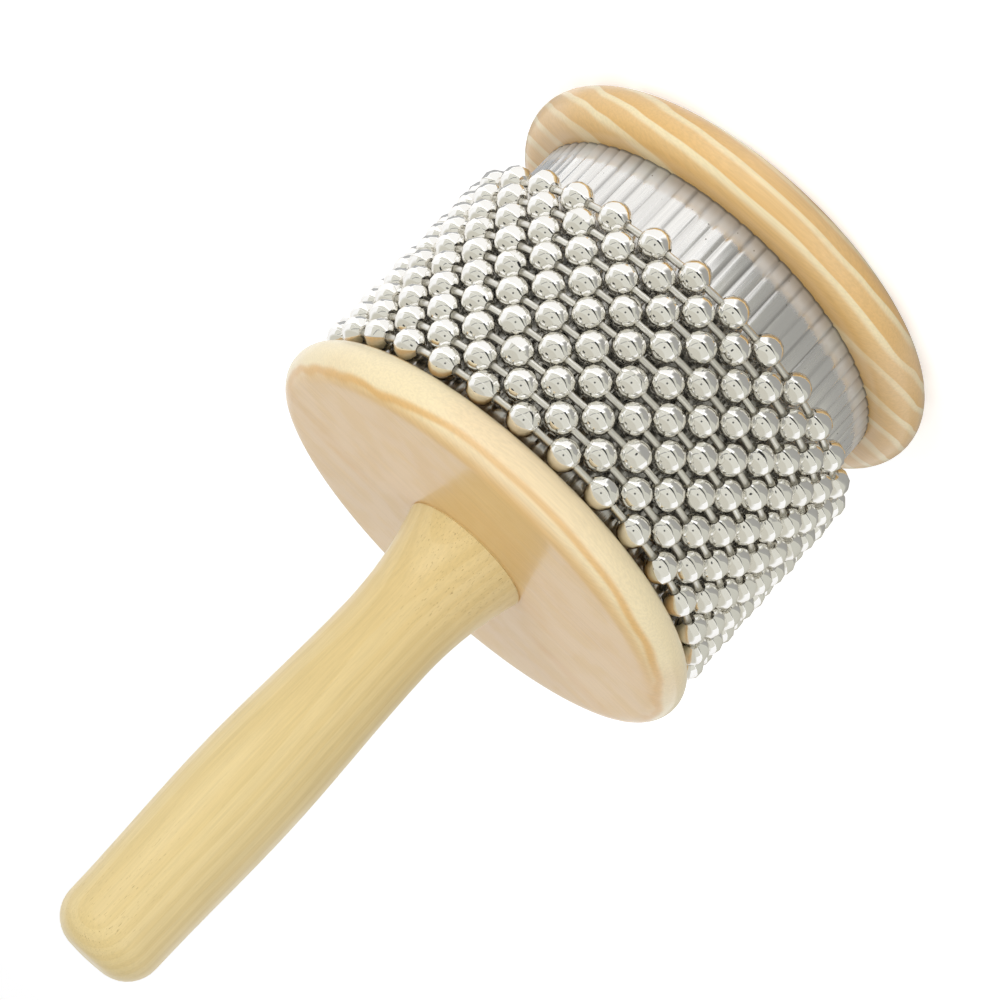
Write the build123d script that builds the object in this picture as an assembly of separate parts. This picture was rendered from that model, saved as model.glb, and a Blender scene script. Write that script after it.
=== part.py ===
from build123d import *
import math
import os

# Cabasa: a turned wooden handle and two round wooden discs on a wooden core, a fluted steel
# sleeve round the core, and loops of ball chain that lie loose round the sleeve.
# Millimetres. The origin is the centre of the end disc's outer face, and +Z runs along the
# axis to the end of the handle.

# Wooden discs, each with a fully rounded rim
disc_dia = 100.0
end_disc_thick = 11.5
handle_disc_thick = 10.0

# Fluted sleeve, measured over its ridges, with its two edges facing each other in one groove
sleeve_dia = 84.8
flute_pitch = 3.4
flute_depth = 0.6
ridge_width = 2.3
sheet_thick = 0.4
core_play = 0.1

# Ball chain: hollow beads, rolled from strip with an open seam, on pins with trapped heads
loop_count = 10
bead_dia = 6.35
bead_wall = 0.4
bead_seam = 0.12
seam_turn = 137.5
link_dia = 1.6
link_bare = 3.2
link_play = 0.12
head_lip = 0.35
head_thick = 0.8
head_round = 0.25
head_play = 0.15

# Room of the loops on the sleeve
loop_play = 0.425
nest_gap = 0.39
disc_gap = 0.25
free_travel = 12.7

# Turned handle, with heights measured from the face of the handle disc
base_dia = 28.0
neck_dia = 20.8
neck_height = 23.0
grip_dia = 23.2
grip_height = 63.0
end_dia = 21.6
end_round = 7.0
handle_len = 105.0
tenon_dia = 16.0
tenon_len = 34.0
tenon_play = 0.1
tenon_end_room = 1.0

# The ring of bead centres, and the beads that fit round it
bead_r = bead_dia / 2
link_r = link_dia / 2
ring_r = sleeve_dia / 2 + loop_play + bead_r
bead_count = int(2 * math.pi * ring_r / (bead_dia + link_bare))
bead_step = 360 / bead_count
half_step = math.radians(bead_step / 2)
chord = 2 * ring_r * math.sin(half_step)

# Neighbouring loops nest: the beads of one stand between the beads of the next
nest_side = 2 * ring_r * math.sin(half_step / 2)
nest_rise = math.sqrt(max((bead_dia + nest_gap) ** 2 - nest_side**2, 0))
loop_pitch = max(nest_rise, bead_r + link_r + nest_gap)

# A link crosses its bead's hole at half a step, and its head is wider than the hole
hole_r = link_r / math.cos(half_step) + bead_r * math.tan(half_step) + link_play
head_r = hole_r + head_lip
cavity_r = bead_r - bead_wall
head_reach = math.sqrt((cavity_r - head_play) ** 2 - head_r**2)


def seat_height(disc_thick):
    # Height of a bead's centre over a disc's inner face, where the bead just clears the rim
    rim_r = disc_thick / 2
    past_flat = max(ring_r - (disc_dia / 2 - rim_r), 0)
    return math.sqrt((rim_r + bead_r + disc_gap) ** 2 - past_flat**2) - rim_r


# Stations along the axis
drum_bottom = end_disc_thick
pack_len = (loop_count - 1) * loop_pitch
drum_len = seat_height(end_disc_thick) + free_travel + pack_len + seat_height(handle_disc_thick)
drum_top = drum_bottom + drum_len
first_loop_z = drum_top - seat_height(handle_disc_thick)
handle_face = drum_top + handle_disc_thick

core_r = sleeve_dia / 2 - flute_depth - sheet_thick - core_play
bore_r = tenon_dia / 2 + tenon_play


def disc(thick):
    rim_r = thick / 2
    flat_r = disc_dia / 2 - rim_r
    rim = ThreePointArc((flat_r, 0), (disc_dia / 2, rim_r), (flat_r, thick))
    faces = Polyline((flat_r, thick), (0, thick), (0, 0), (flat_r, 0))
    return revolve(Plane.XZ * make_face([*rim.edges(), *faces.edges()]), Axis.Z)


def end_disc():
    return disc(end_disc_thick)


def handle_disc():
    bore = extrude(Circle(bore_r), handle_disc_thick)
    return Pos(0, 0, drum_top) * (disc(handle_disc_thick) - bore)


def drum_core():
    bore_depth = tenon_len - handle_disc_thick + tenon_end_room
    core = extrude(Circle(core_r), drum_len)
    bore = Pos(0, 0, drum_len - bore_depth) * extrude(Circle(bore_r), bore_depth)
    return Pos(0, 0, drum_bottom) * (core - bore)


def handle():
    base_r = base_dia / 2
    neck_r = neck_dia / 2
    grip_r = grip_dia / 2
    end_r = end_dia / 2
    up = (0, 1)
    round_start = handle_len - end_round
    round_mid = end_round * math.sqrt(0.5)
    flare_in = base_r - neck_r
    flare_r = (neck_height**2 + flare_in**2) / (2 * flare_in)
    flare_mid_r = neck_r + flare_r - math.sqrt(flare_r**2 - (neck_height / 2) ** 2)
    outline = [
        ThreePointArc((base_r, 0), (flare_mid_r, neck_height / 2), (neck_r, neck_height)),
        Spline((neck_r, neck_height), (grip_r, grip_height), tangents=[up, up]),
        Spline((grip_r, grip_height), (end_r, round_start), tangents=[up, up]),
        ThreePointArc(
            (end_r, round_start),
            (end_r - end_round + round_mid, round_start + round_mid),
            (end_r - end_round, handle_len),
        ),
        Polyline(
            (end_r - end_round, handle_len),
            (0, handle_len),
            (0, -tenon_len),
            (tenon_dia / 2, -tenon_len),
            (tenon_dia / 2, 0),
            (base_r, 0),
        ),
    ]
    edges = [edge for line in outline for edge in line.edges()]
    return Pos(0, 0, handle_face) * revolve(Plane.XZ * make_face(edges), Axis.Z)


def fluted_line(crest_r):
    # Tangent arcs round the drum, a broad ridge and a narrow groove in turn, with no last groove
    flute_count = round(math.pi * sleeve_dia / flute_pitch)
    flute_step = 2 * math.pi / flute_count
    ridge_turn = flute_step * ridge_width / flute_pitch
    groove_turn = flute_step - ridge_turn
    edge_r = crest_r - flute_depth * ridge_turn / flute_step
    root_r = crest_r - flute_depth
    seam_at = math.pi / 2

    def at(radius, turn):
        return (radius * math.cos(turn), radius * math.sin(turn))

    arcs = []
    for flute in range(flute_count):
        start = seam_at + groove_turn / 2 + flute * flute_step
        end = start + ridge_turn
        crest = at(crest_r, start + ridge_turn / 2)
        arcs.append(ThreePointArc(at(edge_r, start), crest, at(edge_r, end)))
        if flute < flute_count - 1:
            root = at(root_r, end + groove_turn / 2)
            arcs.append(ThreePointArc(at(edge_r, end), root, at(edge_r, end + groove_turn)))
    return arcs


def corrugated_sleeve():
    outside = fluted_line(sleeve_dia / 2)
    inside = fluted_line(sleeve_dia / 2 - sheet_thick)
    seam_edges = [
        Line(outside[-1] @ 1, inside[-1] @ 1),
        Line(inside[0] @ 0, outside[0] @ 0),
    ]
    edges = [edge for line in outside + inside + seam_edges for edge in line.edges()]
    return Pos(0, 0, drum_bottom) * extrude(make_face(edges), drum_len)


def bead():
    # Hollow ball with its chain axis along Z, open along one seam from hole to hole
    inner_end = math.sqrt(cavity_r**2 - hole_r**2)
    outer_end = math.sqrt(bead_r**2 - hole_r**2)
    wall = [
        ThreePointArc((hole_r, -outer_end), (bead_r, 0), (hole_r, outer_end)),
        Line((hole_r, outer_end), (hole_r, inner_end)),
        ThreePointArc((hole_r, inner_end), (cavity_r, 0), (hole_r, -inner_end)),
        Line((hole_r, -inner_end), (hole_r, -outer_end)),
    ]
    edges = [edge for line in wall for edge in line.edges()]
    seam_angle = math.degrees(bead_seam / bead_r)
    return revolve(Plane.XZ * make_face(edges), Axis.Z, 360 - seam_angle)


def link():
    # Pin along Z between the centres of two beads, with a rounded head inside each
    tip = chord / 2 - head_reach + head_thick
    neck = tip - head_thick
    side = [
        Polyline((0, -tip), (head_r - head_round, -tip)),
        RadiusArc((head_r - head_round, -tip), (head_r, head_round - tip), -head_round),
        Polyline(
            (head_r, head_round - tip),
            (head_r, -neck),
            (link_r, -neck),
            (link_r, neck),
            (head_r, neck),
            (head_r, tip - head_round),
        ),
        RadiusArc((head_r, tip - head_round), (head_r - head_round, tip), -head_round),
        Polyline((head_r - head_round, tip), (0, tip), (0, -tip)),
    ]
    edges = [edge for line in side for edge in line.edges()]
    return revolve(Plane.XZ * make_face(edges), Axis.Z)


along_chain = Rot(90, 0, 0)


def loop_place(number):
    # Loops hang from the handle disc, and every other one is turned by half a step to nest
    turn = -90 + (number % 2) * bead_step / 2
    return Pos(0, 0, first_loop_z - number * loop_pitch) * Rot(0, 0, turn)


def bead_loop(number, one_bead):
    # Beads turn freely on their links, so their seams point every way
    placed = []
    for k in range(bead_count):
        seam_first = Rot(0, 0, seam_turn * (k + number))
        turned = Rot(0, 0, k * bead_step) * Pos(ring_r, 0, 0) * along_chain * seam_first
        placed.append(loop_place(number) * turned * one_bead)
    return placed


def link_loop(number, one_link):
    mid_r = ring_r * math.cos(half_step)
    placed = []
    for k in range(bead_count):
        turned = Rot(0, 0, (k + 0.5) * bead_step) * Pos(mid_r, 0, 0) * along_chain
        placed.append(loop_place(number) * turned * one_link)
    return placed


def write(name, shapes):
    solids = [solid for shape in shapes for solid in shape.solids()]
    export_step(Compound(solids), f"parts/{name}.step")


os.makedirs("parts", exist_ok=True)
write("end_disc", [end_disc()])
write("handle_disc", [handle_disc()])
write("drum_core", [drum_core()])
write("corrugated_sleeve", [corrugated_sleeve()])
write("handle", [handle()])
one_bead = bead()
one_link = link()
for number in range(loop_count):
    write(f"bead_loop_{number + 1:02d}", bead_loop(number, one_bead))
    write(f"link_loop_{number + 1:02d}", link_loop(number, one_link))
print(f"{bead_count} beads a loop, pitch {chord:.3f}, loops {loop_pitch:.3f} apart")
print(f"drum length {drum_len:.3f}, handle face at {handle_face:.3f}")
print(f"first loop at {first_loop_z:.3f}")
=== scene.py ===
import math
import random

import bmesh
import bpy
from mathutils import Matrix, Quaternion, Vector


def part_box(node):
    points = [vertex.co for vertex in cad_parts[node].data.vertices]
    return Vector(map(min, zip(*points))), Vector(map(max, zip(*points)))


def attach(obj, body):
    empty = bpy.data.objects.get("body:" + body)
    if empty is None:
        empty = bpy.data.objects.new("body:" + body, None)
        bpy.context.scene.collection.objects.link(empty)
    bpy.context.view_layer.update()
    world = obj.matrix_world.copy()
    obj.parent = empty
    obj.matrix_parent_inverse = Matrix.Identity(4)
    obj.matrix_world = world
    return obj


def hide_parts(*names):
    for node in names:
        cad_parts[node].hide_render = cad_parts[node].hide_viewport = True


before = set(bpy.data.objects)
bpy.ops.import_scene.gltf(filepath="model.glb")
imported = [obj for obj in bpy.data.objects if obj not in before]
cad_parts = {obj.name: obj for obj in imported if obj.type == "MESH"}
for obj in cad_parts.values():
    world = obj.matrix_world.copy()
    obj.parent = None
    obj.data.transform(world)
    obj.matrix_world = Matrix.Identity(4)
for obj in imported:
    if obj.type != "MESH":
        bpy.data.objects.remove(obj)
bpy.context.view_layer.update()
mm = 0.001
tiny = 1e-7  # points closer than this are one point


# Modelling helpers

def startFrom(primitive, **settings):
    # adds a primitive at its size and place, with nothing else selected
    bpy.ops.object.select_all(action="DESELECT")
    primitive(**settings)
    return bpy.context.object


def startEdit(piece):
    bpy.context.view_layer.objects.active = piece
    bpy.ops.object.mode_set(mode="EDIT")
    bpy.ops.mesh.select_all(action="SELECT")


def pick(kind, test):
    # selects the vertices, edges or faces of the piece in edit mode that pass a test
    bpy.ops.mesh.select_mode(type=kind)
    bpy.ops.mesh.select_all(action="DESELECT")
    mesh = bmesh.from_edit_mesh(bpy.context.object.data)
    items = {"VERT": mesh.verts, "EDGE": mesh.edges, "FACE": mesh.faces}[kind]
    for item in items:
        if test(item):
            item.select_set(True)
    bmesh.update_edit_mesh(bpy.context.object.data)


def levelEdge(edge):
    return abs(edge.verts[0].co.z - edge.verts[1].co.z) < tiny


def ringUp(rise, growth):
    # extrudes the selected ring along the axis and resizes it about the axis
    bpy.ops.mesh.extrude_region_move(TRANSFORM_OT_translate={"value": (0, 0, rise)})
    bpy.ops.transform.resize(value=(growth, growth, 1), center_override=(0, 0, 0))


def endEdit(piece, name, smoothAngle):
    bpy.ops.mesh.select_all(action="SELECT")
    bpy.ops.mesh.remove_doubles(threshold=tiny)
    bpy.ops.mesh.normals_make_consistent(inside=False)
    bpy.ops.object.mode_set(mode="OBJECT")
    bpy.ops.object.transform_apply(location=True, rotation=True, scale=True)
    bpy.ops.object.shade_smooth_by_angle(angle=math.radians(smoothAngle))
    piece.name = name
    piece.data.name = name


def setPoints(piece, name, values):
    # a value of its own at each vertex, for the materials
    piece.data.attributes.new(name, "FLOAT", "POINT").data.foreach_set("value", values)


def seat(piece, material, slotName, body, *nodes):
    piece.data.materials.clear()
    piece.data.materials.append(material)
    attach(piece, body)
    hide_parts(*nodes)


# Node helpers

def addNode(tree, kind, inputs=None, **settings):
    node = tree.nodes.new("ShaderNode" + kind)
    for name, value in settings.items():
        setattr(node, name, value)
    for key, value in (inputs or {}).items():
        if isinstance(value, bpy.types.NodeSocket):
            tree.links.new(value, node.inputs[key])
        else:
            node.inputs[key].default_value = value
    return node


def mathOf(tree, operation, a, b=0.0, c=0.0):
    return addNode(tree, "Math", {0: a, 1: b, 2: c}, operation=operation).outputs[0]


def meanOf(tree, a, b):
    return mathOf(tree, "MULTIPLY", mathOf(tree, "ADD", a, b), 0.5)


def smoothStep(tree, value, low, high, outLow=0.0, outHigh=1.0):
    inputs = {"Value": value, "From Min": low, "From Max": high, "To Min": outLow, "To Max": outHigh}
    return addNode(tree, "MapRange", inputs, interpolation_type="SMOOTHSTEP").outputs["Result"]


def mixColor(tree, factor, a, b, blend="MIX"):
    inputs = {0: factor, 6: a, 7: b}
    return addNode(tree, "Mix", inputs, data_type="RGBA", blend_type=blend).outputs[2]


def mixValue(tree, factor, a, b):
    return addNode(tree, "Mix", {0: factor, 2: a, 3: b}).outputs[0]


def stretch(tree, vector, scale):
    return addNode(tree, "VectorMath", {0: vector, 1: scale}, operation="MULTIPLY").outputs[0]


def noiseOf(tree, vector, scale=1.0, detail=3.0, roughness=0.5):
    inputs = {"Vector": vector, "Scale": scale, "Detail": detail, "Roughness": roughness}
    return addNode(tree, "TexNoise", inputs).outputs["Fac"]


def pointValue(tree, name):
    return addNode(tree, "Attribute", attribute_name=name).outputs["Fac"]


def newGroup(name, inputs, outputs):
    tree = bpy.data.node_groups.new(name, "ShaderNodeTree")
    for socketName, kind, value in inputs:
        socket = tree.interface.new_socket(socketName, in_out="INPUT", socket_type="NodeSocket" + kind)
        socket.default_value = value
    for socketName in outputs:
        tree.interface.new_socket(socketName, in_out="OUTPUT", socket_type="NodeSocketFloat")
    return tree, tree.nodes.new("NodeGroupInput").outputs, tree.nodes.new("NodeGroupOutput").inputs


def useGroup(tree, group, inputs):
    return addNode(tree, "Group", inputs, node_tree=group).outputs


def newMaterial(name):
    material = bpy.data.materials.new(name)
    material.use_nodes = True
    tree = material.node_tree
    return material, tree, tree.nodes["Principled BSDF"].inputs


def objectPoint(tree, location=(0, 0, 0), turn=(0, 0, 0)):
    # the piece's own place in millimetres, moved and turned
    spot = addNode(tree, "TexCoord").outputs["Object"]
    inputs = {"Vector": spot, "Location": location, "Rotation": turn, "Scale": (1 / mm,) * 3}
    return addNode(tree, "Mapping", inputs, vector_type="POINT").outputs[0]


def bump(tree, shader, relief, strength, height):
    inputs = {"Height": relief, "Strength": strength, "Distance": height}
    tree.links.new(addNode(tree, "Bump", inputs).outputs[0], shader["Normal"])


# Shared effects

# stretches are along the grain and across it, and the rest are shares of a noise or of a ring
grainShape = dict(
    wander=(0.016, 0.07, 0.07), fibre=(0.06, 2.6, 2.6), drift=(0.012, 0.05, 0.05),
    fleck=(0.7, 5.5, 5.5), fleckEdge=(0.66, 0.74), ringEnd=(0.93, 1.0), ringBuild=(0.35, 0.65),
)


def woodGrainGroup():
    # in millimetres, with the grain along X and the growth rings round the X axis
    shape = grainShape
    tree, given, out = newGroup(
        "woodGrain",
        [("Vector", "Vector", (0, 0, 0)), ("Ring Width", "Float", 3.0), ("Waviness", "Float", 2.0),
         ("Pale Share", "Float", 0.25), ("Ring Edge", "Float", 0.24)],
        ["Rings", "Fibre", "Drift", "Flecks"],
    )
    spot = given["Vector"]
    paleShare = given["Pale Share"]
    wander = noiseOf(tree, stretch(tree, spot, shape["wander"]), detail=2.0)
    acrossGrain = stretch(tree, spot, (0, 1, 1))
    across = addNode(tree, "VectorMath", {0: acrossGrain}, operation="LENGTH").outputs["Value"]
    shifted = mathOf(tree, "ADD", across, mathOf(tree, "MULTIPLY", wander, given["Waviness"]))
    phase = mathOf(tree, "FRACT", mathOf(tree, "DIVIDE", shifted, given["Ring Width"]))
    rise = smoothStep(tree, phase, mathOf(tree, "SUBTRACT", paleShare, given["Ring Edge"]), paleShare)
    fall = smoothStep(tree, phase, *shape["ringEnd"], 1.0, 0.0)
    build = mathOf(tree, "MULTIPLY_ADD", phase, *shape["ringBuild"])
    rings = mathOf(tree, "MULTIPLY", mathOf(tree, "MULTIPLY", rise, fall), build)
    tree.links.new(rings, out["Rings"])
    fibre = noiseOf(tree, stretch(tree, spot, shape["fibre"]), detail=4.0, roughness=0.6)
    tree.links.new(fibre, out["Fibre"])
    drift = noiseOf(tree, stretch(tree, spot, shape["drift"]), detail=1.0)
    tree.links.new(drift, out["Drift"])
    fleck = noiseOf(tree, stretch(tree, spot, shape["fleck"]), detail=1.0)
    tree.links.new(smoothStep(tree, fleck, *shape["fleckEdge"]), out["Flecks"])
    return tree


marksShape = dict(
    smudgeScale=0.13, smudgeEdge=(0.35, 0.7), fewScale=0.21, fewEdge=(0.44, 0.58),
    dotEdge=(0.05, 0.1), scratch=(3.5, 3.5, 0.05), scratchEdge=(0.62, 0.72),
)


def handlingGroup():
    # smudges from handling, pin-head specks and fine scratches, in millimetres
    shape = marksShape
    tree, given, out = newGroup(
        "handling",
        [("Vector", "Vector", (0, 0, 0)), ("Speck Size", "Float", 3.0)],
        ["Smudge", "Specks", "Scratches"],
    )
    spot = given["Vector"]
    smudge = noiseOf(tree, spot, shape["smudgeScale"], detail=4.0)
    tree.links.new(smoothStep(tree, smudge, *shape["smudgeEdge"]), out["Smudge"])
    density = mathOf(tree, "DIVIDE", 1.0, given["Speck Size"])
    cells = addNode(tree, "TexVoronoi", {"Vector": spot, "Scale": density})
    few = smoothStep(tree, noiseOf(tree, spot, shape["fewScale"], detail=2.0), *shape["fewEdge"])
    dots = smoothStep(tree, cells.outputs["Distance"], *shape["dotEdge"], 1.0, 0.0)
    tree.links.new(mathOf(tree, "MULTIPLY", dots, few), out["Specks"])
    lines = noiseOf(tree, stretch(tree, spot, shape["scratch"]), detail=2.0)
    tree.links.new(smoothStep(tree, lines, *shape["scratchEdge"]), out["Scratches"])
    return tree


woodGrain = woodGrainGroup()
handling = handlingGroup()
print("shared effects: wood grain, handling")


# Wood finishes

def streaked(tree, wood, fibre, looks):
    # fine lines along the grain, a little lighter and darker than the wood
    streak = smoothStep(tree, fibre, *looks["streakEdge"], *looks["streakTone"])
    shade = addNode(tree, "CombineColor", {0: streak, 1: streak, 2: streak}).outputs[0]
    return mixColor(tree, 1.0, wood, shade, "MULTIPLY")


def lacquer(tree, shader, wood, fibre, smudge, looks):
    tree.links.new(wood, shader["Base Color"])
    tree.links.new(smoothStep(tree, smudge, 0.0, 1.0, *looks["roughness"]), shader["Roughness"])
    bump(tree, shader, fibre, looks["grainBump"], looks["grainHeight"])
    shader["Coat Weight"].default_value = looks["coat"]
    shader["Coat Roughness"].default_value = looks["coatRoughness"]


pineLooks = dict(
    cream=(0.91, 0.77, 0.48, 1), tan=(0.76, 0.45, 0.14, 1), blush=(0.82, 0.60, 0.36, 1),
    blushEdge=(0.45, 0.75), blushShare=0.45, shadedFaceEdge=(4.0, 5.7),
    streakEdge=(0.3, 0.75), streakTone=(1.03, 0.92), grainBump=0.25, grainHeight=0.05 * mm,
    roughness=(0.42, 0.58), coat=0.7, coatRoughness=0.16,
)
endDiscGrain = dict(
    turn=8.0, pith=(75.0, 130.0), ringWidth=4.0, waviness=3.5, paleShare=0.36, ringEdge=0.24,
    strength=0.95, middle=5.75, faceShade=0.3,
)
handleDiscGrain = dict(
    turn=15.0, pith=(0.0, 603.2), ringWidth=8.0, waviness=3.0, paleShare=0.90, ringEdge=0.12,
    strength=0.9, middle=77.52, faceShade=0.72,
)


def pineMaterial(name, grain):
    material, tree, shader = newMaterial(name)
    looks = pineLooks
    spot = objectPoint(tree, (0, *grain["pith"]), (0, 0, math.radians(grain["turn"])))
    grown = useGroup(tree, woodGrain, {
        "Vector": spot, "Ring Width": grain["ringWidth"], "Waviness": grain["waviness"],
        "Pale Share": grain["paleShare"], "Ring Edge": grain["ringEdge"]})
    smudge = useGroup(tree, handling, {"Vector": spot})["Smudge"]
    ringTone = mathOf(tree, "MULTIPLY", grown["Rings"], grain["strength"])
    wood = mixColor(tree, ringTone, looks["cream"], looks["tan"])
    blushed = smoothStep(tree, grown["Drift"], *looks["blushEdge"], 0.0, looks["blushShare"])
    wood = mixColor(tree, blushed, wood, looks["blush"])
    # painted shade: the face on the disc's +Z side and the edge of the rim next to it turn tan
    height = addNode(tree, "SeparateXYZ", {0: objectPoint(tree)}).outputs["Z"]
    fromMiddle = mathOf(tree, "SUBTRACT", height, grain["middle"])
    shadeOnFace = smoothStep(tree, fromMiddle, *looks["shadedFaceEdge"], 0.0, grain["faceShade"])
    wood = mixColor(tree, shadeOnFace, wood, looks["tan"])
    wood = streaked(tree, wood, grown["Fibre"], looks)
    lacquer(tree, shader, wood, grown["Fibre"], smudge, looks)
    return material


handleLooks = dict(
    pale=(0.75, 0.59, 0.275, 1), warm=(0.69, 0.52, 0.21, 1), fleck=(0.40, 0.26, 0.09, 1),
    pith=(31.0, 9.0), ringWidth=2.6, waviness=2.2, paleShare=0.6, strength=0.55,
    patchEdge=(0.46, 0.58), patchShare=(0.1, 0.9),
    streakEdge=(0.3, 0.75), streakTone=(1.03, 0.93), grainBump=0.3, grainHeight=0.04 * mm,
    roughness=(0.38, 0.52), coat=0.6, coatRoughness=0.28,
)


def handleMaterial():
    material, tree, shader = newMaterial("handleWood")
    looks = handleLooks
    spot = objectPoint(tree, (0, *looks["pith"]), (0, math.radians(90), 0))
    grown = useGroup(tree, woodGrain, {
        "Vector": spot, "Ring Width": looks["ringWidth"], "Waviness": looks["waviness"],
        "Pale Share": looks["paleShare"]})
    smudge = useGroup(tree, handling, {"Vector": spot})["Smudge"]
    ringTone = mathOf(tree, "MULTIPLY", grown["Rings"], looks["strength"])
    wood = mixColor(tree, ringTone, looks["pale"], looks["warm"])
    wood = streaked(tree, wood, grown["Fibre"], looks)
    patches = smoothStep(tree, grown["Drift"], *looks["patchEdge"], *looks["patchShare"])
    wood = mixColor(tree, mathOf(tree, "MULTIPLY", grown["Flecks"], patches), wood, looks["fleck"])
    lacquer(tree, shader, wood, grown["Fibre"], smudge, looks)
    return material


# Metal finishes

beadLooks = dict(
    bright=(0.975, 0.97, 0.95, 1), dull=(0.93, 0.92, 0.895, 1), edge=(0.88, 0.86, 0.83, 1),
    wearEdge=(0.1, 1.0), roughness=(0.03, 0.1),
)
linkLooks = dict(
    bright=(0.90, 0.89, 0.85, 1), dull=(0.76, 0.74, 0.69, 1), edge=(0.85, 0.83, 0.80, 1),
    wearEdge=(0.1, 1.0), roughness=(0.26, 0.42),
)


def nickelMaterial(name, looks):
    material, tree, shader = newMaterial(name)
    smudge = useGroup(tree, handling, {"Vector": objectPoint(tree)})["Smudge"]
    wear = meanOf(tree, smudge, pointValue(tree, "beadTone"))
    tree.links.new(mixColor(tree, wear, looks["bright"], looks["dull"]), shader["Base Color"])
    tree.links.new(smoothStep(tree, wear, *looks["wearEdge"], *looks["roughness"]), shader["Roughness"])
    shader["Metallic"].default_value = 1.0
    shader["Specular Tint"].default_value = looks["edge"]  # the metal's own tone at a grazing angle
    return material


# heights are in millimetres from the end disc's outer face
steelLooks = dict(
    bright=(0.95, 0.94, 0.92, 1), dull=(0.80, 0.795, 0.785, 1), roughness=(0.16, 0.30),
    rolled=(1.1, 1.1, 0.04), rolledEdge=(0.3, 0.7), scratchBump=0.08, scratchHeight=0.03 * mm,
    # painted shade in the band beside the end disc, darkest at the joint
    bandShade=(0.68, 0.695, 0.71, 1), bandShadeEdge=(11.6, 14.0),
    haze=(0.78, 0.815, 0.855, 1), hazeEdge=(13.8, 16.4), hazeTeeth=0.8, hazeShare=0.88,
    hazeCover=0.5, hazeRoughness=0.6,
    # painted shade: the dark tone of the joint line at the end disc and of the flute grooves
    shadeTone=(0.20, 0.195, 0.19, 1), jointShadeEdge=(11.6, 12.2), jointShadeShare=0.75,
    speck=(0.14, 0.12, 0.10, 1), speckSize=2.2, speckShare=0.85,
    # painted shade on the sleeve under the chain
    shadeUnderChain=(0.12, 0.115, 0.11, 1), chainShadeEdge=(25.5, 28.5), chainShadeShare=0.5,
)


def steelMaterial():
    material, tree, shader = newMaterial("sleeveSteel")
    looks = steelLooks
    spot = objectPoint(tree)
    height = addNode(tree, "SeparateXYZ", {0: spot}).outputs["Z"]
    marks = useGroup(tree, handling, {"Vector": spot, "Speck Size": looks["speckSize"]})
    rolled = noiseOf(tree, stretch(tree, spot, looks["rolled"]), detail=4.0, roughness=0.65)
    tone = pointValue(tree, "fluteTone")
    wear = meanOf(tree, smoothStep(tree, rolled, *looks["rolledEdge"]), tone)
    metal = mixColor(tree, wear, looks["bright"], looks["dull"])
    # a dulled band beside the end disc, reaching further on some flutes: rougher and less metallic, with
    # painted shade that darkens it towards the joint
    teeth = mathOf(tree, "SUBTRACT", height, mathOf(tree, "MULTIPLY", tone, looks["hazeTeeth"]))
    low = smoothStep(tree, teeth, *looks["hazeEdge"], looks["hazeShare"], 0.0)
    shadedBand = mixColor(tree, smoothStep(tree, teeth, *looks["bandShadeEdge"]), looks["bandShade"], looks["haze"])
    metal = mixColor(tree, low, metal, shadedBand)
    # painted shade: a thin dark line along the joint with the end disc
    joint = smoothStep(tree, height, *looks["jointShadeEdge"], looks["jointShadeShare"], 0.0)
    # painted shade in the flute grooves, taken together with the joint line
    paintedShade = mathOf(tree, "MAXIMUM", pointValue(tree, "grooveShade"), joint)
    metal = mixColor(tree, paintedShade, metal, looks["shadeTone"])
    specks = mathOf(tree, "MULTIPLY", marks["Specks"], looks["speckShare"])
    metal = mixColor(tree, specks, metal, looks["speck"])
    # painted shade on the sleeve where the chain covers it, which darkens the gaps between the beads
    shadedUnderChain = smoothStep(tree, height, *looks["chainShadeEdge"], 0.0, looks["chainShadeShare"])
    metal = mixColor(tree, shadedUnderChain, metal, looks["shadeUnderChain"])
    tree.links.new(metal, shader["Base Color"])
    rough = smoothStep(tree, wear, 0.0, 1.0, *looks["roughness"])
    tree.links.new(mixValue(tree, low, rough, looks["hazeRoughness"]), shader["Roughness"])
    bump(tree, shader, marks["Scratches"], looks["scratchBump"], looks["scratchHeight"])
    cover = mathOf(tree, "MULTIPLY", low, looks["hazeCover"])
    tree.links.new(mathOf(tree, "SUBTRACT", 1.0, cover), shader["Metallic"])
    return material


beadNickel = nickelMaterial("beadNickel", beadLooks)
linkNickel = nickelMaterial("linkNickel", linkLooks)
sleeveSteel = steelMaterial()
handleWood = handleMaterial()
print("finishes: pine, handle wood, nickel, rolled steel")


# Discs

discShape = dict(
    around=144, rimShare=0.498, rimSteps=10, softEdge=1.2 * mm, bore=8.1 * mm, smoothAngle=40,
)


def modelDisc(node, name, bored):
    shape = discShape
    low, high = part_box(node)
    radius, thick = (high.x - low.x) / 2, high.z - low.z
    rim = thick * shape["rimShare"]
    disc = startFrom(
        bpy.ops.mesh.primitive_cylinder_add,
        vertices=shape["around"], radius=radius, depth=thick, location=(0, 0, (low.z + high.z) / 2))
    startEdit(disc)
    pick("EDGE", levelEdge)
    bpy.ops.mesh.bevel(offset=rim, segments=shape["rimSteps"], affect="EDGES")
    pick("FACE", lambda face: len(face.verts) > 4)
    bpy.ops.mesh.inset(thickness=shape["softEdge"], use_boundary=True)
    if bored:
        flat = radius - rim - shape["softEdge"]
        bpy.ops.mesh.inset(thickness=flat - shape["bore"], use_boundary=True)
        bpy.ops.mesh.delete(type="FACE")
        pick("EDGE", lambda edge: edge.is_boundary)
        bpy.ops.mesh.bridge_edge_loops()
    endEdit(disc, name, shape["smoothAngle"])
    return disc


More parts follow.
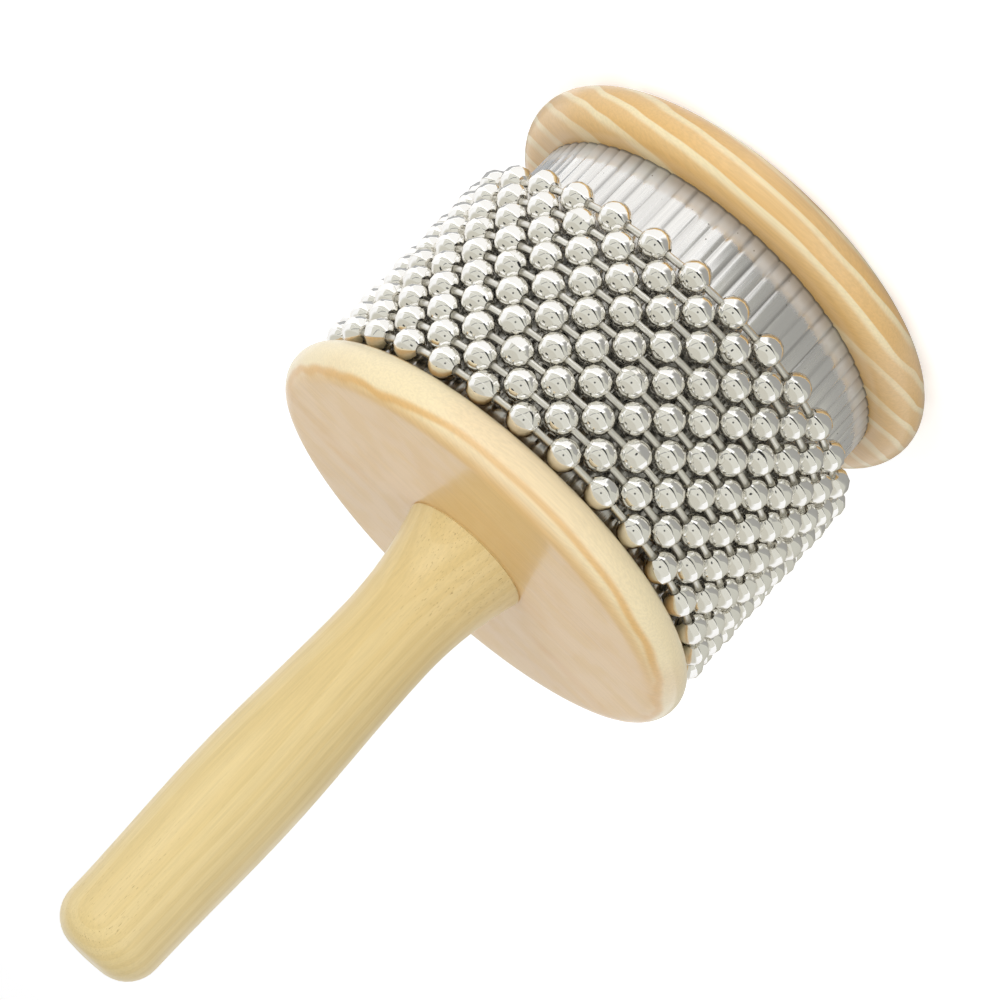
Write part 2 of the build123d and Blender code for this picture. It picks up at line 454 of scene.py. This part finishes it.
endDisc = modelDisc("end_disc", "endDisc", False)
seat(endDisc, pineMaterial("endDiscPine", endDiscGrain), "disc_wood", "head", "end_disc")
handleDisc = modelDisc("handle_disc", "handleDisc", True)
seat(handleDisc, pineMaterial("handleDiscPine", handleDiscGrain), "disc_wood", "head", "handle_disc")
print("discs done")


# Handle

handleShape = dict(
    around=96, steps=9, smoothAngle=40, length=105.0 * mm, base=14.0 * mm, jointGap=0.3 * mm,
    neck=10.4 * mm, neckHeight=23.0 * mm, grip=11.6 * mm, gripHeight=63.0 * mm,
    end=10.8 * mm, endRound=7.0 * mm, endInset=0.8 * mm, tenon=8.0 * mm, tenonLength=34.0 * mm,
)


def handleRings():
    # heights over the disc face and radii, from the flare to the rounded end
    shape = handleShape
    steps, neckHeight = shape["steps"], shape["neckHeight"]
    flareIn = shape["base"] - shape["neck"]
    flare = (neckHeight ** 2 + flareIn ** 2) / (2 * flareIn)
    roundStart = shape["length"] - shape["endRound"]
    jointRadius = shape["base"] - shape["jointGap"]
    rings = [(0.0, jointRadius), (shape["jointGap"] / 2, jointRadius)]
    for step in range(steps):
        height = max(neckHeight * step / steps, shape["jointGap"])
        inward = math.sqrt(flare ** 2 - (neckHeight - height) ** 2)
        rings.append((height, shape["neck"] + flare - inward))
    swells = [
        (neckHeight, shape["neck"], shape["gripHeight"], shape["grip"]),
        (shape["gripHeight"], shape["grip"], roundStart, shape["end"]),
    ]
    for startHeight, startRadius, endHeight, endRadius in swells:
        for step in range(steps):
            share = step / steps
            ease = share * share * (3 - 2 * share)
            height = startHeight + (endHeight - startHeight) * share
            rings.append((height, startRadius + (endRadius - startRadius) * ease))
    for step in range(steps + 1):
        turn = math.pi / 2 * step / steps
        radius = shape["end"] - shape["endRound"] * (1 - math.cos(turn))
        rings.append((roundStart + shape["endRound"] * math.sin(turn), radius))
    return rings


def modelHandle():
    shape = handleShape
    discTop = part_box("handle_disc")[1].z
    rings = handleRings()
    startRadius = rings[0][1]
    handle = startFrom(
        bpy.ops.mesh.primitive_circle_add,
        vertices=shape["around"], radius=startRadius, location=(0, 0, discTop))
    startEdit(handle)
    for (height, radius), (nextHeight, nextRadius) in zip(rings, rings[1:]):
        ringUp(nextHeight - height, nextRadius / radius)
    bpy.ops.mesh.edge_face_add()
    bpy.ops.mesh.inset(thickness=shape["endInset"])
    pick("VERT", lambda vertex: abs(vertex.co.z) < tiny)
    ringUp(0, shape["tenon"] / startRadius)
    ringUp(-shape["tenonLength"], 1)
    bpy.ops.mesh.edge_face_add()
    endEdit(handle, "handle", shape["smoothAngle"])
    return handle


handlePiece = modelHandle()
seat(handlePiece, handleWood, "handle_wood", "head", "handle")
print("handle done")


# Fluted sleeve

sleeveShape = dict(
    flutes=78, perFlute=10, depth=0.6 * mm, depthShare=(0.3, 0.75), sheet=0.4 * mm, rows=12,
    tilt=0.07 * mm, dent=0.02 * mm, grooveShadeShare=0.7, smoothAngle=50, seed=11,
)
# share of the depth at each step of a flute, from the middle of a groove
fluteSection = (1.0, 0.6, 0.1, 0.0, 0.0, 0.0, 0.0, 0.0, 0.1, 0.6)


def fluteAt(spot):
    # the flute's number and the step within it, counted round from the seam
    count = sleeveShape["flutes"] * sleeveShape["perFlute"]
    turn = (math.atan2(spot.y, spot.x) - math.pi / 2) % (2 * math.pi)
    return divmod(round(turn / (2 * math.pi) * count) % count, sleeveShape["perFlute"])


def modelSleeve():
    shape = sleeveShape
    dice = random.Random(shape["seed"])
    flutes = range(shape["flutes"])
    low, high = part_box("corrugated_sleeve")
    crest = (high.x - low.x) / 2
    leans = [dice.uniform(-1, 1) * shape["tilt"] for flute in flutes]
    depths = [dice.uniform(*shape["depthShare"]) * shape["depth"] for flute in flutes]
    sleeve = startFrom(
        bpy.ops.mesh.primitive_circle_add,
        vertices=shape["flutes"] * shape["perFlute"], radius=crest, location=(0, 0, low.z))
    startEdit(sleeve)
    mesh = bmesh.from_edit_mesh(sleeve.data)
    for vertex in mesh.verts:
        flute, phase = fluteAt(vertex.co)
        lean = leans[flute] * math.sin(2 * math.pi * phase / shape["perFlute"])
        inset = fluteSection[phase] * depths[flute] + shape["tilt"] + lean
        vertex.co.xy *= (crest - inset) / crest
    bmesh.update_edit_mesh(sleeve.data)
    for row in range(shape["rows"]):
        ringUp((high.z - low.z) / shape["rows"], 1 + dice.uniform(-1, 1) * shape["dent"] / crest)
    halfGroove = math.pi / shape["flutes"] * 2 / shape["perFlute"]

    def inSeam(face):
        middle = face.calc_center_median()
        return middle.y > 0 and abs(math.atan2(middle.x, middle.y)) < halfGroove

    pick("FACE", inSeam)
    bpy.ops.mesh.delete(type="FACE")
    endEdit(sleeve, "corrugatedSleeve", shape["smoothAngle"])
    wall = sleeve.modifiers.new("sheet", "SOLIDIFY")
    wall.thickness = shape["sheet"]
    wall.offset = -1
    bpy.ops.object.modifier_apply(modifier=wall.name)
    tones = [dice.random() for flute in flutes]
    # painted shade in the flute grooves, deepest in the middle of a groove and stronger on some flutes
    # than others
    grooveShades = [dice.random() ** 2 * shape["grooveShadeShare"] for flute in flutes]
    places = [fluteAt(vertex.co) for vertex in sleeve.data.vertices]
    setPoints(sleeve, "fluteTone", [tones[flute] for flute, phase in places])
    setPoints(sleeve, "grooveShade", [grooveShades[flute] * fluteSection[phase] for flute, phase in places])
    return sleeve


sleevePiece = modelSleeve()
seat(sleevePiece, sleeveSteel, "sleeve_steel", "head", "corrugated_sleeve")
print("sleeve done:", len(sleevePiece.data.polygons), "faces")


# Ball chain

chainShape = dict(
    loops=10, beads=30, stray=0.05 * mm, seed=5,
    beadRadius=3.175 * mm, roundOut=1.035, around=12, rings=8, beadAngle=40, holeDepth=0.5 * mm,
    seamWidth=0.13 * mm, seamDepth=0.12 * mm, seamFrom=0.3, seamEdge=0.75 * mm,
    linkRadius=0.8 * mm, linkSides=10, linkTuck=0.55 * mm, linkAngle=50,
    linkWaist=0.94, waistCuts=3, waistShare=0.3,
)


def modelBead():
    # a hollow-looking ball with its chain holes at the poles and one seam from hole to hole
    shape = chainShape
    # corners a little outside the true ball and facets a little inside it
    radius = shape["beadRadius"] * shape["roundOut"]
    bead = startFrom(
        bpy.ops.mesh.primitive_uv_sphere_add,
        segments=shape["around"], ring_count=shape["rings"], radius=radius)
    holeHeight = radius * math.cos(math.pi / shape["rings"])
    startEdit(bead)
    for side in (1, -1):
        pick("FACE", lambda face: side * face.calc_center_median().z > holeHeight)
        bpy.ops.mesh.dissolve_faces()
        inward = (0, 0, -side * shape["holeDepth"])
        bpy.ops.mesh.extrude_region_move(TRANSFORM_OT_translate={"value": inward})

    def onSeam(edge):
        # without the short edges down into the holes
        onSide = all(abs(v.co.y) < tiny and v.co.x > radius * shape["seamFrom"] for v in edge.verts)
        return onSide and edge.calc_length() > shape["seamEdge"]

    pick("EDGE", onSeam)
    bpy.ops.mesh.bevel(offset=shape["seamWidth"] / 2, segments=1, affect="EDGES")
    bpy.ops.mesh.select_mode(type="FACE")
    bpy.ops.mesh.extrude_region_shrink_fatten(TRANSFORM_OT_shrink_fatten={"value": -shape["seamDepth"]})
    endEdit(bead, "beadModel", shape["beadAngle"])
    return bead


def modelLink(length):
    shape = chainShape
    link = startFrom(
        bpy.ops.mesh.primitive_cylinder_add,
        vertices=shape["linkSides"], radius=shape["linkRadius"], depth=length)
    startEdit(link)
    pick("EDGE", lambda edge: not levelEdge(edge))
    bpy.ops.mesh.subdivide(number_cuts=shape["waistCuts"])
    pick("VERT", lambda vertex: abs(vertex.co.z) < length * shape["waistShare"])
    waist = shape["linkWaist"]
    bpy.ops.transform.resize(value=(waist, waist, 1), center_override=(0, 0, 0))
    endEdit(link, "linkModel", shape["linkAngle"])
    return link


def copyRing(model, name, places, tones):
    # joins one copy of the model for each place into one piece
    bpy.ops.object.select_all(action="DESELECT")
    copies = []
    for place, tone in zip(places, tones):
        piece = bpy.data.objects.new(name, model.data.copy())
        piece.data.transform(place)
        setPoints(piece, "beadTone", [tone] * len(piece.data.vertices))
        bpy.context.scene.collection.objects.link(piece)
        piece.select_set(True)
        copies.append(piece)
    bpy.context.view_layer.objects.active = copies[0]
    bpy.ops.object.join()
    copies[0].name = name
    copies[0].data.name = name
    return copies[0]


def chainLoops():
    shape = chainShape
    dice = random.Random(shape["seed"])
    ringRadius = -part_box("bead_loop_01")[0].y - shape["beadRadius"]
    step = 2 * math.pi / shape["beads"]
    chord = 2 * ringRadius * math.sin(step / 2)
    bead = modelBead()
    link = modelLink(chord - 2 * shape["beadRadius"] + 2 * shape["linkTuck"])
    beadOut = Matrix.Translation((ringRadius, 0, 0))
    linkOut = Matrix.Translation((ringRadius * math.cos(step / 2), 0, 0))
    alongChain = Matrix.Rotation(math.radians(90), 4, "X")
    for number in range(1, shape["loops"] + 1):
        low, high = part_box(f"bead_loop_{number:02d}")
        level = Vector((0, 0, (low.z + high.z) / 2))
        # every other loop is turned by half a step, so that they nest
        start = -math.pi / 2 + (step / 2 if number % 2 == 0 else 0)
        beadPlaces, linkPlaces, tones = [], [], []
        for k in range(shape["beads"]):
            stray = Vector([dice.uniform(-1, 1) * shape["stray"] for axis in range(3)])
            roll = Matrix.Rotation(dice.uniform(0, 2 * math.pi), 4, "Z")
            turn = Matrix.Rotation(start + k * step, 4, "Z")
            beadPlaces.append(Matrix.Translation(level + stray) @ turn @ beadOut @ alongChain @ roll)
            turn = Matrix.Rotation(start + (k + 0.5) * step, 4, "Z")
            linkPlaces.append(Matrix.Translation(level) @ turn @ linkOut @ alongChain)
            tones.append(dice.random())
        beads = copyRing(bead, f"beadLoop{number:02d}", beadPlaces, tones)
        links = copyRing(link, f"linkLoop{number:02d}", linkPlaces, tones)
        seat(beads, beadNickel, "bead_nickel", f"loop_{number:02d}", f"bead_loop_{number:02d}")
        seat(links, linkNickel, "link_nickel", f"loop_{number:02d}", f"link_loop_{number:02d}")
    print("chain done:", len(bead.data.polygons), "faces a bead,", len(link.data.polygons), "a link")
    bpy.data.objects.remove(bead)
    bpy.data.objects.remove(link)


chainLoops()


# Hidden core

coreGrain = dict(
    turn=30.0, pith=(20.0, 40.0), ringWidth=4.0, waviness=6.0, paleShare=0.5, ringEdge=0.24,
    strength=0.6, middle=42.0, faceShade=0.0,
)
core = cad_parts["drum_core"]
core.data.materials.clear()
core.data.materials.append(pineMaterial("corePine", coreGrain))
print("core done")


# Stage

stageLooks = dict(
    floorSize=8.0, floorDrop=0.1 * mm, floorColor=(0.82, 0.82, 0.82, 1), floorGlow=0.55,
    worldLight=0.58, ceiling=(0.62, 0.60, 0.52, 1), ceilingEdge=(0.35, 0.65),
)
lampList = [
    dict(name="frontBox", spot=(0.55, -1.10, 0.35), size=0.7, power=6.7),
    dict(name="sideBox", spot=(-0.95, -0.75, 0.45), size=0.7, power=3.0),
    dict(name="topBox", spot=(0.05, 0.15, 1.30), size=0.8, power=0.8),
]
lampAim = Vector((0, 0, 0.06))
wallShape = dict(around=180, away=1.60, low=0.02)
wallList = [
    dict(name="roomWall", middle=-101.0, spread=75.0, high=1.20, tone=(0.72, 0.71, 0.64, 1)),
    dict(name="sideWall", middle=14.0, spread=25.0, high=1.20, tone=(0.5, 0.5, 0.47, 1)),
    dict(name="otherWall", middle=144.0, spread=25.0, high=1.20, tone=(0.5, 0.5, 0.47, 1)),
    dict(name="backWall", middle=79.0, spread=38.0, high=0.75, tone=(0.38, 0.38, 0.36, 1)),
]
cardList = [
    dict(name="greyMat", spot=(-0.43, 0.10, 0.0003), size=(0.80, 0.80), tone=(0.60, 0.595, 0.53, 1)),
    dict(name="nearGrey", spot=(-0.047, -0.020, 0.0006), size=(0.10, 0.17), tone=(0.37, 0.365, 0.345, 1),
         softEdge=0.16),
    dict(name="nearWhite", spot=(0.058, -0.068, 0.0006), size=(0.11, 0.09), tone=(1.0, 0.99, 0.97, 1)),
    dict(name="farGrey", spot=(0.090, 0.030, 0.0006), size=(0.08, 0.09), tone=(0.50, 0.51, 0.52, 1)),
    dict(name="frontMat", spot=(-0.10, -0.88, 0.0004), size=(2.20, 1.43), tone=(0.72, 0.71, 0.64, 1)),
    dict(name="ceilingBar", spot=(0.32, -0.31, 1.20), size=(0.40, 0.22), tone=(0.03, 0.03, 0.03, 1)),
]
barList = [
    dict(name="nearBar", start=(-0.004, -0.142, 0.0009), end=(-0.115, -0.160, 0.0009), width=0.042,
         tone=(0.03, 0.03, 0.03, 1)),
    dict(name="longBar", start=(-0.112, -0.160, 0.0009), end=(-0.62, -0.205, 0.0009), width=0.036,
         tone=(0.10, 0.10, 0.10, 1)),
    dict(name="postFoot", start=(-0.004, -0.150, 0.0009), end=(0.014, -0.240, 0.0009), width=0.014,
         tone=(0.2, 0.2, 0.2, 1)),
    dict(name="postBase", start=(0.014, -0.240, 0.0009), end=(0.25, -0.90, 0.0009), width=0.035,
         tone=(0.2, 0.2, 0.2, 1)),
    dict(name="post", start=(0.51, -1.51, 0.05), end=(1.20, -1.04, 1.00), width=0.10,
         tone=(0.2, 0.2, 0.2, 1)),
]
lensCard = dict(around=24, behind=30 * mm, radius=56 * mm, tone=(0.05, 0.05, 0.05, 1))
photoView = dict(
    spot=(-100.303 * mm, -514.406 * mm, 225.154 * mm), aim=(2.172 * mm, -0.433 * mm, 70.593 * mm),
    roll=-136.772, lens=100.913, sensor=36.0, clipStart=0.01,
)


def bareMaterial(name):
    material = bpy.data.materials.new(name)
    material.use_nodes = True
    material.node_tree.nodes.clear()
    return material, material.node_tree


def seenDirectly(tree):
    # 1 for camera, mirror and glass rays, and 0 for light that falls on the object
    rays = addNode(tree, "LightPath").outputs
    either = mathOf(tree, "MAXIMUM", rays["Is Camera Ray"], rays["Is Glossy Ray"])
    return mathOf(tree, "MAXIMUM", either, rays["Is Transmission Ray"])


def makeFloor():
    looks = stageLooks
    floor = startFrom(
        bpy.ops.mesh.primitive_plane_add, size=looks["floorSize"], location=(0, 0, -looks["floorDrop"]))
    floor.name = "floor"
    material, tree = bareMaterial("paleFloor")
    matt = addNode(tree, "BsdfDiffuse", {"Color": looks["floorColor"]})
    level = mathOf(tree, "MULTIPLY", seenDirectly(tree), looks["floorGlow"])
    glow = addNode(tree, "Emission", {"Strength": level})
    both = addNode(tree, "AddShader", {0: matt.outputs[0], 1: glow.outputs[0]})
    addNode(tree, "OutputMaterial", {"Surface": both.outputs[0]})
    floor.data.materials.append(material)


def makeWorld():
    looks = stageLooks
    world = bpy.data.worlds.new("studio")
    bpy.context.scene.world = world
    world.use_nodes = True
    tree = world.node_tree
    tree.nodes.clear()
    facing = addNode(tree, "TexCoord").outputs["Generated"]
    upward = addNode(tree, "SeparateXYZ", {0: facing}).outputs["Z"]
    high = smoothStep(tree, upward, *looks["ceilingEdge"])
    onlyGlossy = addNode(tree, "LightPath").outputs["Is Glossy Ray"]
    color = mixColor(tree, mathOf(tree, "MULTIPLY", high, onlyGlossy), (1, 1, 1, 1), looks["ceiling"])
    level = mixValue(tree, seenDirectly(tree), looks["worldLight"], 1.0)
    sky = addNode(tree, "Background", {"Color": color, "Strength": level})
    addNode(tree, "OutputWorld", {"Surface": sky.outputs[0]})


def makeLamps():
    for lamp in lampList:
        data = bpy.data.lights.new(lamp["name"], "AREA")
        data.size = lamp["size"]
        data.energy = lamp["power"]
        box = bpy.data.objects.new(lamp["name"], data)
        box.location = lamp["spot"]
        box.rotation_mode = "QUATERNION"
        box.rotation_quaternion = (lampAim - box.location).to_track_quat("-Z", "Y")
        box.visible_glossy = False
        bpy.context.scene.collection.objects.link(box)


def mirrorOnly(card, name, tone, softEdge=0.0):
    # a stage card that shows in polished metal and neither lights nor shades the object
    card.name = name
    material, tree = bareMaterial(name)
    surface = addNode(tree, "Emission", {"Color": tone, "Strength": 1.0}).outputs[0]
    if softEdge:
        # in its own coordinates a card reaches half a unit each way
        spot = addNode(tree, "SeparateXYZ", {0: addNode(tree, "TexCoord").outputs["Object"]}).outputs
        across, along = mathOf(tree, "ABSOLUTE", spot["X"]), mathOf(tree, "ABSOLUTE", spot["Y"])
        fade = smoothStep(tree, mathOf(tree, "MAXIMUM", across, along), 0.5 - softEdge, 0.5)
        clear = addNode(tree, "BsdfTransparent").outputs[0]
        surface = addNode(tree, "MixShader", {0: fade, 1: surface, 2: clear}).outputs[0]
    addNode(tree, "OutputMaterial", {"Surface": surface})
    card.data.materials.append(material)
    card.visible_camera = False
    card.visible_diffuse = False
    card.visible_shadow = False


def makeWalls():
    away, low = wallShape["away"], wallShape["low"]
    for wall in wallList:
        card = startFrom(
            bpy.ops.mesh.primitive_circle_add,
            vertices=wallShape["around"], radius=away, location=(0, 0, low))
        startEdit(card)
        ringUp(wall["high"] - low, 1)
        middle = math.radians(wall["middle"])
        facing = Vector((math.cos(middle), math.sin(middle), 0))
        nearest = math.cos(math.radians(wall["spread"])) * away
        pick("FACE", lambda face: face.calc_center_median().dot(facing) < nearest)
        bpy.ops.mesh.delete(type="FACE")
        bpy.ops.object.mode_set(mode="OBJECT")
        mirrorOnly(card, wall["name"], wall["tone"])


def makeCards():
    for card in cardList:
        plane = startFrom(bpy.ops.mesh.primitive_plane_add, size=1, location=card["spot"])
        plane.scale = (*card["size"], 1)
        mirrorOnly(plane, card["name"], card["tone"], card.get("softEdge", 0.0))


def makeBars():
    for bar in barList:
        start, end = Vector(bar["start"]), Vector(bar["end"])
        along = (end - start).normalized()
        facing = lampAim - (start + end) / 2
        facing = (facing - along * facing.dot(along)).normalized()
        plane = startFrom(bpy.ops.mesh.primitive_plane_add, size=1, location=(start + end) / 2)
        plane.scale = ((end - start).length, bar["width"], 1)
        plane.rotation_mode = "QUATERNION"
        axes = Matrix((along, facing.cross(along), facing)).transposed()
        plane.rotation_quaternion = axes.to_quaternion()
        mirrorOnly(plane, bar["name"], bar["tone"])


def makeCamera():
    data = bpy.data.cameras.new("photoCamera")
    data.sensor_fit = "HORIZONTAL"
    data.sensor_width = photoView["sensor"]
    data.lens = photoView["lens"]
    data.clip_start = photoView["clipStart"]
    camera = bpy.data.objects.new("photoCamera", data)
    camera.location = photoView["spot"]
    camera.rotation_mode = "QUATERNION"
    level = (Vector(photoView["aim"]) - camera.location).to_track_quat("-Z", "Y")
    camera.rotation_quaternion = level @ Quaternion((0, 0, 1), math.radians(photoView["roll"]))
    bpy.context.scene.collection.objects.link(camera)
    bpy.context.scene.camera = camera
    return camera


def makeLens(camera):
    # the dark spot that each bead mirrors in its middle
    back = camera.rotation_quaternion @ Vector((0, 0, 1))
    card = startFrom(
        bpy.ops.mesh.primitive_circle_add, vertices=lensCard["around"], radius=lensCard["radius"],
        fill_type="NGON", location=camera.location + back * lensCard["behind"])
    card.rotation_mode = "QUATERNION"
    card.rotation_quaternion = camera.rotation_quaternion
    mirrorOnly(card, "lensCard", lensCard["tone"])


makeFloor()
makeWorld()
makeLamps()
makeWalls()
makeCards()
makeBars()
makeLens(makeCamera())
bpy.context.scene.cycles.glossy_bounces = 12  # the beads mirror each other many times
bpy.context.scene.view_settings.view_transform = "Standard"
print("stage done")
